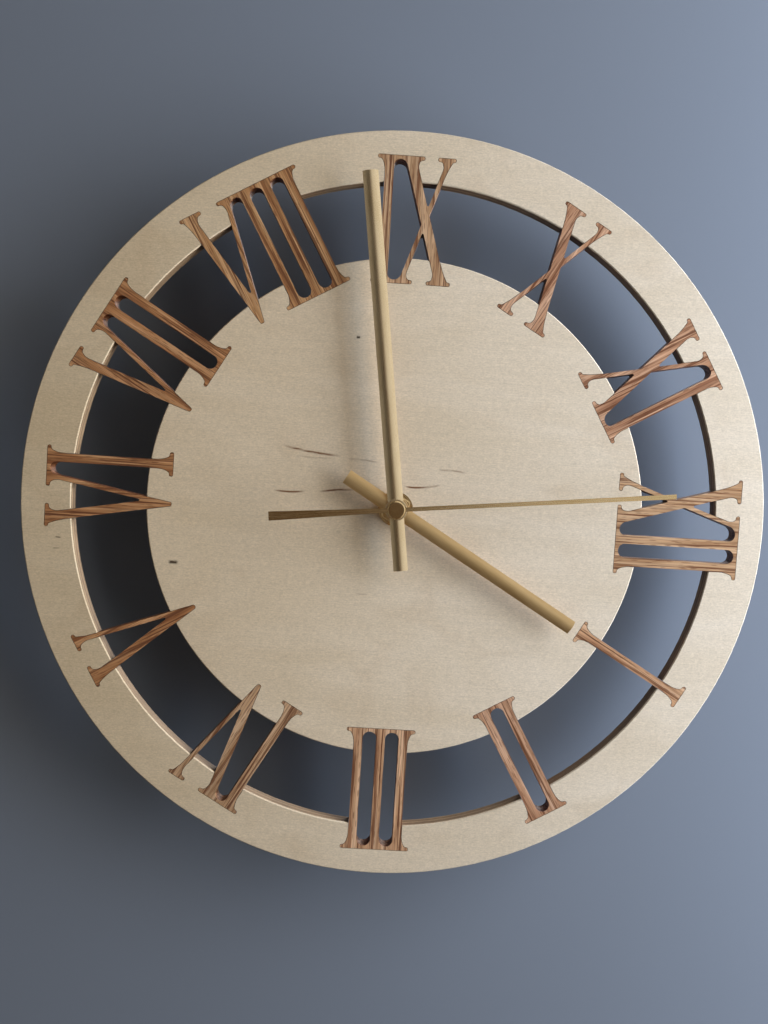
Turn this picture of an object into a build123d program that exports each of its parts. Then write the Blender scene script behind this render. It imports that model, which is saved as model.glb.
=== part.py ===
from build123d import *
from math import acos, cos, radians, sin, sqrt, tan
import os

# A skeleton wall clock in millimetres. +Z is up to XII, the dial faces -Y and the wall is the plane Y = 0.
# The origin is where the axis of the hands meets the wall. Heights are measured from the wall to the front.

# Wooden boards
ring_outer_diameter = 300.0
ring_width = 20.0
dial_gap = 30.0  # between the ring and the disc
board_thickness = 6.0
board_edge_break = 0.4
numeral_bite = 10.0  # how far a numeral runs into the ring and into the disc
socket_clearance = 0.18

# Letterforms: u runs across a letter and v up it, from its foot to its head
stem_width = 3.5
v_stroke_width = 3.6
x_stroke_width = 4.0
hairline_width = 1.65
v_stroke_ends = (1.1, -8.2)  # u of the stroke's middle at the foot and at the head
v_hairline_ends = (-0.2, 8.85)
x_stroke_ends = (7.6, -7.4)
x_hairline_ends = (-8.7, 8.3)
serif_thickness = 1.3
serif_tip_radius = 0.6
upright_overhang = 2.95  # serif past the side of an upright stem
outer_overhang = 2.0  # serif past the side that a slanted stroke leans to
inner_overhang = 3.35  # serif past the other side of a slanted stroke
serif_overlap = 0.25  # what neighbouring letters share of their serifs
longest_bracket = 2.8  # along a serif that two strokes share
bracket_rise = 5.0  # up an upright stem, of the bracket at a serif's free tip
bracket_tight_share = 0.38  # of that bracket's run along the serif, taken by the tighter of its two arcs
bracket_share = 0.98  # of the room along a serif, the most that a bracket takes
rounding_share = 0.45  # of a tip's width, the most that its rounding takes
crotch_radius = 0.45
apex_radius = 0.5
hour_angle = 30.0  # from one numeral to the next
numeral_words = ("I", "II", "III", "IV", "V", "VI", "VII", "VIII", "IX", "X", "XI", "XII")
numeral_shift = {4: 1.6, 5: 0.7, 6: 0.7, 7: -3.4, 8: -0.9, 11: -0.5}  # clockwise, off the hour's own line

# Hands, with their rest angles clockwise from XII
hour_hand_angle = 30.4
hour_hand_reach = 85.0
hour_hand_tail = 23.5
hour_hand_width = 5.7
hour_tail_width = 6.0
hour_hub_diameter = 10.3
minute_hand_angle = 262.0
minute_hand_reach = 132.0
minute_hand_tail = 24.3
minute_hand_width = 6.2
minute_tail_width = 5.75
minute_hub_diameter = 8.7
hub_thickness = 1.2
hub_edge_radius = 0.3
hand_crown = 1.0
hand_sheet = 0.5
second_hand_angle = 353.7
second_hand_reach = 110.5
second_hand_tail = 50.0
second_tip_width = 1.9
second_waist_width = 1.6
second_tail_width = 3.6
second_sheet = 0.4
boss_diameter = 7.2
boss_height = 1.2
boss_chamfer = 0.6
boss_end_wall = 0.3
boss_sleeve_diameter = 2.4
boss_sleeve_length = 0.8

# Stack on the bushing, from the movement to the hands
hanger_thickness = 0.8
rubber_thickness = 1.0
rubber_diameter = 22.0
washer_thickness = 0.5
washer_diameter = 14.0
nut_thickness = 2.5
nut_across_flats = 11.0
nut_chamfer = 0.4
bushing_diameter = 8.0
bushing_proud = 1.0
bushing_flange_diameter = 13.0
bushing_flange_thickness = 1.4
bushing_hole_clearance = 0.1
hand_gap = 0.5
tube_proud = 0.3
hour_tube_radius = 2.55
minute_tube_radius = 1.75
arbor_radius = 0.5
running_clearance = 0.05

# Hanger plate
hanger_width = 20.0
hanger_foot = 12.0  # below the axis
hanger_case_gap = 0.7  # between the bent leg and the top of the case
hanger_bend_radius = 1.2
hanger_tab_height = 18.0
hanger_tab_standoff = 3.0
hanger_hole_diameter = 5.0
hanger_hole_rise = 9.5  # above the bent leg

# Movement case and cover
case_side = 56.0
case_depth = 16.5
case_wall = 1.5
case_corner_radius = 4.0
cover_thickness = 1.5
cover_clearance = 0.15
partition_thickness = 1.2
contact_slit = 1.0
ledge_side = 4.0
post_radius = 1.2
pivot_depth = 0.8
pivot_end_gap = 0.1

# Cell and contacts
cell_diameter = 14.2
cell_length = 50.5
cell_button_diameter = 5.3
cell_button_length = 1.3
cell_edge_radius = 0.8
cell_clearance = 0.2
contact_thickness = 0.4
contact_side = 8.0
contact_strip_width = 3.0
contact_strip_end = 6.0
contact_dimple_diameter = 4.0

# Going train and motion work: tooth counts, centre distances and the directions of the centre lines
rotor_teeth = 10
fifth_teeth = 60
fifth_pinion_teeth = 12
second_teeth = 60
second_pinion_teeth = 8
third_teeth = 60
third_pinion_teeth = 8
centre_teeth = 64
cannon_teeth = 15
minute_teeth = 45
minute_pinion_teeth = 12
hour_teeth = 48
setting_teeth = 15
third_distance = 10.2
fifth_distance = 11.0
rotor_distance = 7.0
motion_distance = 10.5
third_direction = 150.0
fifth_direction = 0.0
rotor_direction = -40.0
minute_direction = 90.0
setting_direction = 40.0
wheel_thickness = 0.8
pinion_margin = 0.2  # a pinion is this much longer than its wheel at both ends
train_start = 2.4
train_step = 1.8
sleeve_radius = 0.75
wheel_tooth = {"addendum": 0.9, "dedendum": 1.2, "root": 0.25, "pitch": 0.21, "tip": 0.08}
leaf_tooth = {"addendum": 0.8, "dedendum": 1.3, "root": 0.18, "pitch": 0.21, "tip": 0.07}

# Setting knob in its well
knob_radius = 6.0
knob_thickness = 2.5
knob_recess = 0.5
knob_flutes = 16
knob_flute_radius = 0.6
knob_side_gap = 1.0
knob_floor_gap = 0.4
well_wall = 1.0
setting_shaft_radius = 1.0

# Stepping motor
stator_back = 9.0
stator_thickness = 1.0
stator_margin = 1.0
stator_leg_width = 2.6
rotor_air_gap = 0.5
magnet_radius = 2.9
magnet_thickness = 1.8
coil_axis_x = 21.5
coil_low = 1.0
coil_length = 16.5
coil_flange_radius = 3.4
coil_flange_thickness = 0.8
coil_end_gap = 0.7
winding_radius = 3.0
bobbin_radius = 1.9
core_width = 2.2
core_thickness = 1.0
core_lap = 2.0
core_clearance = 0.05

# Circuit board
board_card_size = (13.0, 17.0)
board_card_gap = 1.0  # to the case's wall and ledge
board_card_thickness = 1.0
board_card_drop = 2.5  # below the case's front wall
board_card_post_inset = 2.2  # from the board's edges to the posts that carry it
chip_size = (5.0, 5.0)
chip_height = 0.8
chip_offset = (0.5, -3.0)
crystal_radius = 1.0
crystal_length = 6.0
crystal_offset = (0.0, 4.5)

# Sizes that follow from the ones above
ring_inner_diameter = ring_outer_diameter - 2 * ring_width
disc_diameter = ring_inner_diameter - 2 * dial_gap
numeral_height = dial_gap + 2 * numeral_bite
numeral_base_radius = disc_diameter / 2 - numeral_bite
case_inner = case_side - 2 * case_wall
front_wall_back = case_depth - case_wall
board_back = case_depth + hanger_thickness + rubber_thickness
board_front = board_back + board_thickness
washer_front = board_front + washer_thickness
nut_front = washer_front + nut_thickness
bushing_front = nut_front + bushing_proud
hour_hand_front = bushing_front + hand_gap + hand_crown + hand_sheet
hour_tube_front = hour_hand_front + tube_proud
minute_hand_front = hour_tube_front + hand_gap + hand_crown + hand_sheet
minute_tube_front = minute_hand_front + tube_proud
boss_back = minute_tube_front + tube_proud
second_hand_back = boss_back + boss_sleeve_length
second_hand_front = second_hand_back + second_sheet
boss_front = second_hand_front + boss_height
arbor_front = boss_front - boss_end_wall
hour_bore_radius = minute_tube_radius + running_clearance
minute_bore_radius = arbor_radius + running_clearance
bushing_bore_radius = hour_tube_radius + running_clearance
bushing_hole_radius = bushing_diameter / 2 + bushing_hole_clearance
pivot_radius = arbor_radius + running_clearance
pivot_back = cover_thickness - pivot_depth + pivot_end_gap
pivot_front = front_wall_back + pivot_depth - pivot_end_gap
cell_z = -case_inner / 2 + cell_clearance + cell_diameter / 2
cell_height = front_wall_back - cell_clearance - cell_diameter / 2
partition_low = cell_z + cell_diameter / 2 + cell_clearance
partition_top = partition_low + partition_thickness

fifth_level, second_level, third_level, centre_level, minute_level, hour_level = (
    train_start + step * train_step for step in range(6)
)


def level(height, position=(0.0, 0.0)):
    """Plane facing the viewer at a height from the wall, with x along X and y along Z."""
    x, z = position
    return Plane(origin=(x, -height, z), x_dir=(1, 0, 0), z_dir=(0, -1, 0))


def step_from(start, distance, direction):
    """Point at a distance from start, in the direction counted anticlockwise from +X in degrees."""
    return (
        start[0] + distance * cos(radians(direction)),
        start[1] + distance * sin(radians(direction)),
    )


def disc_face(height, radius, position=(0.0, 0.0), bore=0.0):
    """Round face, or a ring where a bore is given."""
    with BuildSketch(level(height, position)) as face:
        Circle(radius)
        if bore:
            Circle(bore, mode=Mode.SUBTRACT)
    return face.sketch


def write(piece, name):
    """Labels a finished piece and writes it under that name."""
    piece.part.label = name
    export_step(piece.part, f"parts/{name}.step")


os.makedirs("parts", exist_ok=True)

# Numerals: strokes are (u at the foot, u at the head, width across), and ends are foot or head
foot_end, head_end = -1, 1
left_side, right_side = -1, 1
letter_strokes = {
    "I": [(0.0, 0.0, stem_width)],
    "V": [(*v_stroke_ends, v_stroke_width), (*v_hairline_ends, hairline_width)],
    "X": [(*x_stroke_ends, x_stroke_width), (*x_hairline_ends, hairline_width)],
}
tip_radius = min(serif_tip_radius, rounding_share * serif_thickness)


def side_u(stroke, side, v):
    """u of a stroke's left or right side at height v, or of its middle for side 0."""
    foot, head, width = stroke
    return foot + (head - foot) * v / numeral_height + side * width / 2


def lean(stroke):
    """How far a stroke moves across for each millimetre up."""
    foot, head, _ = stroke
    return (head - foot) / numeral_height


def serif_v(end):
    """Height of a serif's inner face."""
    return numeral_height - serif_thickness if end == head_end else serif_thickness


def overhang(stroke, side, end):
    """How far a serif stands out past one side of its stroke."""
    outward = lean(stroke) * end * side
    if outward == 0:
        return upright_overhang
    return outer_overhang if outward > 0 else inner_overhang


def serif_edge(stroke, side, end):
    """u of one tip of a stroke's serif."""
    return side_u(stroke, side, serif_v(end)) + side * overhang(stroke, side, end)


def serif_ends(letter):
    """The ends of a letter that carry serifs: a V stands on its bare apex."""
    return [head_end] if letter == "V" else [foot_end, head_end]


def letter_reach(letter, side):
    """Furthest u of a letter's serifs on one side."""
    tips = [serif_edge(stroke, side, end) for stroke in letter_strokes[letter] for end in serif_ends(letter)]
    return max(tips) if side == right_side else min(tips)


def moved(stroke, across):
    """The same stroke further along the word."""
    return (stroke[0] + across, stroke[1] + across, stroke[2])


def set_word(word, shift):
    """Letters side by side, sharing serif_overlap, with the middle of the word at shift."""
    places, right = [], None
    for letter in word:
        place = 0.0 if right is None else right - serif_overlap - letter_reach(letter, left_side)
        places.append(place)
        right = place + letter_reach(letter, right_side)
    middle = (letter_reach(word[0], left_side) + right) / 2
    return [
        (letter, [moved(stroke, place - middle + shift) for stroke in letter_strokes[letter]])
        for letter, place in zip(word, places)
    ]


def serif_bars(letters, end):
    """Serifs at one end of a word as [start, stop, strokes]: those of neighbouring letters run together."""
    bars, joined = [], False
    for letter, strokes in letters:
        if end not in serif_ends(letter):
            joined = False
            continue
        for stroke in sorted(strokes, key=lambda one: side_u(one, 0, serif_v(end))):
            start, stop = serif_edge(stroke, left_side, end), serif_edge(stroke, right_side, end)
            if joined:
                bars[-1][1] = stop
                bars[-1][2].append(stroke)
            else:
                bars.append([start, stop, [stroke]])
            joined = False
        joined = True
    return bars


def half_corner(stroke, side, end):
    """Tangent of half the angle between a stroke's side and its serif."""
    slope = lean(stroke)
    return tan(acos(-end * slope * side / sqrt(1 + slope**2)) / 2)


def free_bracket(stroke, side, end, tip):
    """Start on the stroke, joint of the two arcs, finish and corner of the bracket at a serif's free tip."""
    v = serif_v(end)
    corner_u = side_u(stroke, side, v)
    run = bracket_share * (abs(tip - corner_u) - tip_radius)
    tight = bracket_tight_share * run
    top = v - end * bracket_rise * half_corner(stroke, side, end)
    start = Vector(side_u(stroke, side, top), numeral_base_radius + top)
    corner = Vector(corner_u, numeral_base_radius + v)
    finish = corner + Vector(side * run, 0)
    near = finish - Vector(side * tight, 0)
    along = (corner - start).normalized()
    loose = ((near - start).length ** 2 - tight**2) / (2 * ((near - start).dot(along) + tight))
    far = start + along * loose
    joint = far + (near - far) * (loose / (loose + tight))
    return start, joint, finish, corner


def shared_brackets(strokes, end):
    """Corners (u, v, radius) where neighbouring strokes meet the serif that they share."""
    v = serif_v(end)
    corners = []
    for one, other in zip(strokes, strokes[1:]):
        left, right = side_u(one, right_side, v), side_u(other, left_side, v)
        run = min(longest_bracket, bracket_share * (right - left) / 2)
        corners.append((left, v, run * half_corner(one, right_side, end)))
        corners.append((right, v, run * half_corner(other, left_side, end)))
    return corners


def crossing(one, one_side, other, other_side):
    """Point where the sides of two slanted strokes meet."""
    gap = side_u(other, other_side, 0) - side_u(one, one_side, 0)
    v = gap / (lean(one) - lean(other))
    return (side_u(one, one_side, v), v)


def letter_shapes(letter, strokes):
    """Outlines of a letter's strokes as point lists, and its rounded corners (u, v, radius)."""
    top = numeral_height
    if letter == "V":
        thick, thin = strokes
        crotch = crossing(thick, right_side, thin, left_side)
        apex_left, apex_right = side_u(thick, left_side, 0), side_u(thin, right_side, 0)
        rounding = min(apex_radius, rounding_share * (apex_right - apex_left))
        outline = [
            (side_u(thick, left_side, top), top),
            (apex_left, 0),
            (apex_right, 0),
            (side_u(thin, right_side, top), top),
            (side_u(thin, left_side, top), top),
            crotch,
            (side_u(thick, right_side, top), top),
        ]
        return [outline], [(*crotch, crotch_radius), (apex_left, 0, rounding), (apex_right, 0, rounding)]
    outlines = [
        [
            (side_u(stroke, left_side, 0), 0),
            (side_u(stroke, right_side, 0), 0),
            (side_u(stroke, right_side, top), top),
            (side_u(stroke, left_side, top), top),
        ]
        for stroke in strokes
    ]
    corners = []
    if letter == "X":
        thick, thin = strokes
        for thick_side in (left_side, right_side):
            for thin_side in (left_side, right_side):
                corners.append((*crossing(thick, thick_side, thin, thin_side), crotch_radius))
    return outlines, corners


def numeral_face(word, shift, hour):
    """Flat outline of a numeral, turned to its place round the dial."""
    letters = set_word(word, shift)
    corners, tips = [], []
    with BuildSketch() as face:
        for letter, strokes in letters:
            outlines, letter_corners = letter_shapes(letter, strokes)
            corners += letter_corners
            for outline in outlines:
                Polygon(*[(u, numeral_base_radius + v) for u, v in outline], align=None)
        for end in (foot_end, head_end):
            tip_v = numeral_height if end == head_end else 0.0
            for start, stop, strokes in serif_bars(letters, end):
                with Locations(((start + stop) / 2, numeral_base_radius + (tip_v + serif_v(end)) / 2)):
                    Rectangle(stop - start, serif_thickness)
                for stroke, side, tip in ((strokes[0], left_side, start), (strokes[-1], right_side, stop)):
                    begin, joint, finish, corner = free_bracket(stroke, side, end, tip)
                    with BuildLine():
                        TangentArc(begin, joint, tangent=corner - begin)
                        TangentArc(finish, joint, tangent=corner - finish)
                        Polyline(finish, corner, begin)
                    make_face()
                corners += shared_brackets(strokes, end)
                tips += [(u, v, tip_radius) for u in (start, stop) for v in (tip_v, serif_v(end))]
        for u, v, radius in corners + tips:
            fillet(face.vertices().sort_by_distance((u, numeral_base_radius + v, 0))[0], radius)
    return face.sketch.rotate(Axis.Z, -hour_angle * hour)


def socket_face(numeral):
    """A numeral's outer outline, filled and grown by the clearance."""
    with BuildSketch() as socket:
        for face in numeral.faces():
            with BuildLine():
                add(face.outer_wire())
            make_face()
        offset(amount=socket_clearance, kind=Kind.INTERSECTION)
    return socket.sketch


numeral_faces = {
    hour: numeral_face(word, numeral_shift.get(hour, 0.0), hour)
    for hour, word in enumerate(numeral_words, start=1)
}
socket_faces = [socket_face(face) for face in numeral_faces.values()]

for hour, face in numeral_faces.items():
    with BuildPart() as numeral:
        with BuildSketch(level(board_back)):
            add(face)
        extrude(amount=board_thickness)
    write(numeral, f"numeral_{hour:02d}")

# Outer ring and inner disc: waste left loose by the sockets falls out
with BuildPart() as outer_ring:
    with BuildSketch(level(board_back)):
        Circle(ring_outer_diameter / 2)
        Circle(ring_inner_diameter / 2, mode=Mode.SUBTRACT)
    extrude(amount=board_thickness)
    chamfer(outer_ring.edges().filter_by(GeomType.CIRCLE), board_edge_break)
    with BuildSketch(level(board_back)):
        add(socket_faces)
    extrude(amount=board_thickness, mode=Mode.SUBTRACT)
    for waste in outer_ring.solids().sort_by(SortBy.VOLUME)[:-1]:
        add(waste, mode=Mode.SUBTRACT)
write(outer_ring, "outer_ring")

with BuildPart() as inner_disc:
    with BuildSketch(level(board_back)):
        Circle(disc_diameter / 2)
    extrude(amount=board_thickness)
    chamfer(inner_disc.edges().filter_by(GeomType.CIRCLE), board_edge_break)
    with BuildSketch(level(board_back)):
        Circle(bushing_hole_radius)
        add(socket_faces)
    extrude(amount=board_thickness, mode=Mode.SUBTRACT)
    for waste in inner_disc.solids().sort_by(SortBy.VOLUME)[:-1]:
        add(waste, mode=Mode.SUBTRACT)
write(inner_disc, "inner_disc")


# Hands
def crowned_strip(front, angle, width):
    """Section of a crowned brass strip, on the plane square to a hand that points at angle."""
    turn = radians(angle)
    plane = Plane(origin=(0, -front, 0), x_dir=(-cos(turn), 0, sin(turn)), z_dir=(sin(turn), 0, cos(turn)))
    half = width / 2
    with BuildSketch(plane) as section:
        with BuildLine():
            ThreePointArc((-half, -hand_crown), (0, 0), (half, -hand_crown))
            Line((half, -hand_crown), (half, -hand_crown - hand_sheet))
            ThreePointArc((half, -hand_crown - hand_sheet), (0, -hand_sheet), (-half, -hand_crown - hand_sheet))
            Line((-half, -hand_crown - hand_sheet), (-half, -hand_crown))
        make_face()
    return section.sketch


with BuildPart() as hour_hand:
    extrude(disc_face(hour_hand_front - hub_thickness, hour_hub_diameter / 2), amount=hub_thickness)
    hub_rim = hour_hand.edges().filter_by(GeomType.CIRCLE).sort_by(Axis.Y)[0]
    fillet(hub_rim, hub_edge_radius)
    extrude(crowned_strip(hour_hand_front, hour_hand_angle, hour_hand_width), amount=hour_hand_reach)
    extrude(crowned_strip(hour_hand_front, hour_hand_angle, hour_tail_width), amount=-hour_hand_tail)
    extrude(disc_face(bushing_front, hour_tube_radius), amount=hour_tube_front - bushing_front, mode=Mode.SUBTRACT)
write(hour_hand, "hour_hand")

with BuildPart() as minute_hand:
    extrude(disc_face(minute_hand_front - hub_thickness, minute_hub_diameter / 2), amount=hub_thickness)
    hub_rim = minute_hand.edges().filter_by(GeomType.CIRCLE).sort_by(Axis.Y)[0]
    fillet(hub_rim, hub_edge_radius)
    extrude(crowned_strip(minute_hand_front, minute_hand_angle, minute_hand_width), amount=minute_hand_reach)
    extrude(crowned_strip(minute_hand_front, minute_hand_angle, minute_tail_width), amount=-minute_hand_tail)
    extrude(
        disc_face(hour_tube_front, minute_tube_radius),
        amount=minute_tube_front - hour_tube_front,
        mode=Mode.SUBTRACT,
    )
write(minute_hand, "minute_hand")

second_turn = radians(second_hand_angle)
second_plane = Plane(
    origin=(0, -second_hand_back, 0),
    x_dir=(cos(second_turn), 0, -sin(second_turn)),
    z_dir=(0, -1, 0),
)
with BuildPart() as second_hand:
    with BuildSketch(second_plane):
        Polygon(
            (-second_tip_width / 2, second_hand_reach),
            (-second_waist_width / 2, 0),
            (-second_tail_width / 2, -second_hand_tail),
            (second_tail_width / 2, -second_hand_tail),
            (second_waist_width / 2, 0),
            (second_tip_width / 2, second_hand_reach),
            align=None,
        )
        Circle(boss_diameter / 2 - boss_chamfer)
        Circle(boss_sleeve_diameter / 2, mode=Mode.SUBTRACT)
    extrude(amount=second_sheet)
write(second_hand, "second_hand")

with BuildPart() as second_hand_boss:
    extrude(disc_face(boss_back, boss_sleeve_diameter / 2), amount=second_hand_front - boss_back)
    extrude(disc_face(second_hand_front, boss_diameter / 2), amount=boss_height)
    boss_rim = second_hand_boss.edges().filter_by(GeomType.CIRCLE).sort_by(Axis.Y)[0]
    fillet(boss_rim, boss_chamfer)
    extrude(disc_face(boss_back, arbor_radius), amount=arbor_front - boss_back, mode=Mode.SUBTRACT)
write(second_hand_boss, "second_hand_boss")

# Stack that clamps the disc to the movement
with BuildPart() as brass_washer:
    extrude(disc_face(board_front, washer_diameter / 2, bore=bushing_hole_radius), amount=washer_thickness)
write(brass_washer, "brass_washer")

with BuildPart() as rubber_washer:
    extrude(
        disc_face(case_depth + hanger_thickness, rubber_diameter / 2, bore=bushing_hole_radius),
        amount=rubber_thickness,
    )
write(rubber_washer, "rubber_washer")

with BuildPart() as fixing_nut:
    with BuildSketch(level(washer_front)):
        RegularPolygon(nut_across_flats / 2, side_count=6, major_radius=False)
    extrude(amount=nut_thickness)
    chamfer(fixing_nut.faces().sort_by(Axis.Y)[0].edges(), nut_chamfer)
    extrude(disc_face(washer_front, bushing_diameter / 2), amount=nut_thickness, mode=Mode.SUBTRACT)
write(fixing_nut, "fixing_nut")

with BuildPart() as threaded_bushing:
    flange_back = front_wall_back - bushing_flange_thickness
    extrude(disc_face(flange_back, bushing_flange_diameter / 2), amount=bushing_flange_thickness)
    extrude(disc_face(front_wall_back, bushing_diameter / 2), amount=bushing_front - front_wall_back)
    extrude(disc_face(flange_back, bushing_bore_radius), amount=bushing_front - flange_back, mode=Mode.SUBTRACT)
write(threaded_bushing, "threaded_bushing")

# Hanger: one bent strip, clamped behind the disc, back over the case and up to the nail hole
hanger_leg_z = case_side / 2 + hanger_case_gap + hanger_thickness / 2
hanger_hole_z = hanger_leg_z + hanger_hole_rise
with BuildPart() as hanger_plate:
    with BuildSketch(Plane.YZ) as hanger_section:
        with BuildLine() as hanger_line:
            FilletPolyline(
                (-case_depth - hanger_thickness / 2, -hanger_foot),
                (-case_depth - hanger_thickness / 2, hanger_leg_z),
                (-hanger_tab_standoff - hanger_thickness / 2, hanger_leg_z),
                (-hanger_tab_standoff - hanger_thickness / 2, hanger_leg_z + hanger_tab_height),
                radius=hanger_bend_radius,
            )
        trace(line_width=hanger_thickness)
    extrude(amount=hanger_width / 2, both=True)
    extrude(disc_face(case_depth, bushing_hole_radius), amount=hanger_thickness, mode=Mode.SUBTRACT)
    extrude(
        disc_face(hanger_tab_standoff, hanger_hole_diameter / 2, (0, hanger_hole_z)),
        amount=hanger_thickness,
        mode=Mode.SUBTRACT,
    )
write(hanger_plate, "hanger_plate")

# Arbor positions inside the movement
centre_position = (0.0, 0.0)
third_position = step_from(centre_position, third_distance, third_direction)
fifth_position = step_from(centre_position, fifth_distance, fifth_direction)
rotor_position = step_from(fifth_position, rotor_distance, rotor_direction)
minute_position = step_from(centre_position, motion_distance, minute_direction)
setting_position = step_from(minute_position, motion_distance, setting_direction)
pivot_positions = [third_position, fifth_position, rotor_position, minute_position]

# Stator, coil and circuit board places, shared with the posts that carry them
stator_hole_radius = magnet_radius + rotor_air_gap
stator_front = stator_back + stator_thickness
stator_left = rotor_position[0] - stator_hole_radius - stator_margin
stator_low = rotor_position[1] - stator_hole_radius - stator_margin
stator_block_top = rotor_position[1] + stator_hole_radius + stator_margin
stator_right = coil_axis_x + core_width / 2 + stator_margin
coil_top = coil_low + coil_length
stator_bar_low = coil_top + coil_end_gap
stator_bar_top = stator_bar_low + stator_leg_width
card_front = front_wall_back - board_card_drop
card_back = card_front - board_card_thickness
board_card_centre = (
    -case_inner / 2 + board_card_gap + board_card_size[0] / 2,
    case_inner / 2 - ledge_side - board_card_gap - board_card_size[1] / 2,
)
stator_posts = [
    (stator_left + stator_leg_width / 2, stator_bar_low - stator_leg_width),
    (stator_right - post_radius, stator_low + post_radius),
]
card_post_x = board_card_size[0] / 2 - board_card_post_inset
card_post_z = board_card_size[1] / 2 - board_card_post_inset
card_posts = [
    (board_card_centre[0] - card_post_x, board_card_centre[1] + card_post_z),
    (board_card_centre[0] + card_post_x, board_card_centre[1] - card_post_z),
]
knob_back = knob_recess
knob_front = knob_back + knob_thickness
well_radius = knob_radius + knob_side_gap
well_floor = knob_front + knob_floor_gap

with BuildPart() as movement_case:
    with BuildSketch(level(0)):
        RectangleRounded(case_side, case_side, case_corner_radius)
    extrude(amount=case_depth)
    with BuildSketch(level(0)):
        RectangleRounded(case_inner, case_inner, case_corner_radius - case_wall)
    extrude(amount=front_wall_back, mode=Mode.SUBTRACT)
    with BuildSketch(level(cover_thickness)):
        with Locations((0, (partition_low + partition_top) / 2)):
            Rectangle(case_inner - 2 * contact_slit, partition_thickness)
        for side in (left_side, right_side):
            corner = (side * (case_inner - ledge_side) / 2, (case_inner - ledge_side) / 2)
            with Locations(corner):
                Rectangle(ledge_side, ledge_side)
    extrude(amount=front_wall_back - cover_thickness)
    for post in stator_posts:
        extrude(disc_face(stator_front, post_radius, post), amount=front_wall_back - stator_front)
    for post in card_posts:
        extrude(disc_face(card_front, post_radius, post), amount=front_wall_back - card_front)
    for position in pivot_positions + [setting_position]:
        extrude(disc_face(front_wall_back, pivot_radius, position), amount=pivot_depth, mode=Mode.SUBTRACT)
    extrude(disc_face(front_wall_back, bushing_hole_radius), amount=case_wall, mode=Mode.SUBTRACT)
write(movement_case, "movement_case")

# Cover over the train, with the knob's well; the cell's bay below it stays open at the back
cover_top = case_inner / 2 - cover_clearance
with BuildPart() as movement_cover:
    with BuildSketch(level(0)):
        with Locations((0, (partition_low + cover_top) / 2)):
            Rectangle(case_inner - 2 * cover_clearance, cover_top - partition_low)
    extrude(amount=cover_thickness)
    top_corners = movement_cover.edges().filter_by(Axis.Y).group_by(Axis.Z)[-1]
    fillet(top_corners, case_corner_radius - case_wall)
    extrude(disc_face(0, well_radius + well_wall, setting_position), amount=well_floor + well_wall)
    extrude(disc_face(0, well_radius, setting_position), amount=well_floor, mode=Mode.SUBTRACT)
    extrude(
        disc_face(well_floor, setting_shaft_radius + running_clearance, setting_position),
        amount=well_wall,
        mode=Mode.SUBTRACT,
    )
    for position in pivot_positions + [centre_position]:
        extrude(
            disc_face(cover_thickness - pivot_depth, pivot_radius, position),
            amount=pivot_depth,
            mode=Mode.SUBTRACT,
        )
write(movement_cover, "movement_back_cover")


# Gears
def gear_face(height, position, teeth, pitch_radius, phase, tooth):
    """Face of a gear with plain six-point teeth, the first of them centred at phase."""
    module = 2 * pitch_radius / teeth
    root = pitch_radius - tooth["dedendum"] * module
    tip = pitch_radius + tooth["addendum"] * module
    half_tooth = [(root, tooth["root"]), (pitch_radius, tooth["pitch"]), (tip, tooth["tip"])]
    profile = [(radius, -share) for radius, share in half_tooth]
    profile += [(radius, share) for radius, share in reversed(half_tooth)]
    points = [
        step_from((0, 0), radius, phase + (number + share) * 360.0 / teeth)
        for number in range(teeth)
        for radius, share in profile
    ]
    with BuildSketch(level(height, position)) as face:
        Polygon(*points, align=None)
    return face.sketch


def mesh_phase(teeth, phase, mate_teeth, direction):
    """Phase of a mate that stands in the given direction and has a gap where this gear has a tooth."""
    return direction + 180.0 - (180.0 + (phase - direction) * teeth) / mate_teeth


def pitch_share(distance, teeth, mate_teeth):
    """Pitch radius of a gear at its centre distance from its mate."""
    return distance * teeth / (teeth + mate_teeth)


def add_wheel(height, position, teeth, pitch_radius, phase):
    """Wheel of the common thickness, joined to the open part."""
    extrude(gear_face(height, position, teeth, pitch_radius, phase, wheel_tooth), amount=wheel_thickness)


def add_pinion(wheel_height, position, teeth, pitch_radius, phase):
    """Pinion that runs past both faces of the wheel at wheel_height, joined to the open part."""
    face = gear_face(wheel_height - pinion_margin, position, teeth, pitch_radius, phase, leaf_tooth)
    extrude(face, amount=wheel_thickness + 2 * pinion_margin)


def add_round(back, front, radius, position=(0.0, 0.0), mode=Mode.ADD):
    """Round arbor, sleeve or bore between two heights."""
    extrude(disc_face(back, radius, position), amount=front - back, mode=mode)


third_pinion_phase = mesh_phase(centre_teeth, 0.0, third_pinion_teeth, third_direction)
second_pinion_phase = mesh_phase(third_teeth, 0.0, second_pinion_teeth, third_direction + 180.0)
fifth_pinion_phase = mesh_phase(second_teeth, 0.0, fifth_pinion_teeth, fifth_direction)
rotor_phase = mesh_phase(fifth_teeth, 0.0, rotor_teeth, rotor_direction)
minute_wheel_phase = mesh_phase(cannon_teeth, 0.0, minute_teeth, minute_direction)
hour_wheel_phase = mesh_phase(minute_pinion_teeth, 0.0, hour_teeth, minute_direction + 180.0)
setting_phase = mesh_phase(minute_teeth, minute_wheel_phase, setting_teeth, setting_direction)
pinion_front = wheel_thickness + pinion_margin

with BuildPart() as hour_wheel:
    hour_pitch = pitch_share(motion_distance, hour_teeth, minute_pinion_teeth)
    add_wheel(hour_level, centre_position, hour_teeth, hour_pitch, hour_wheel_phase)
    add_round(hour_level, hour_tube_front, hour_tube_radius)
    add_round(hour_level, hour_tube_front, hour_bore_radius, mode=Mode.SUBTRACT)
write(hour_wheel, "hour_wheel")

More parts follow.
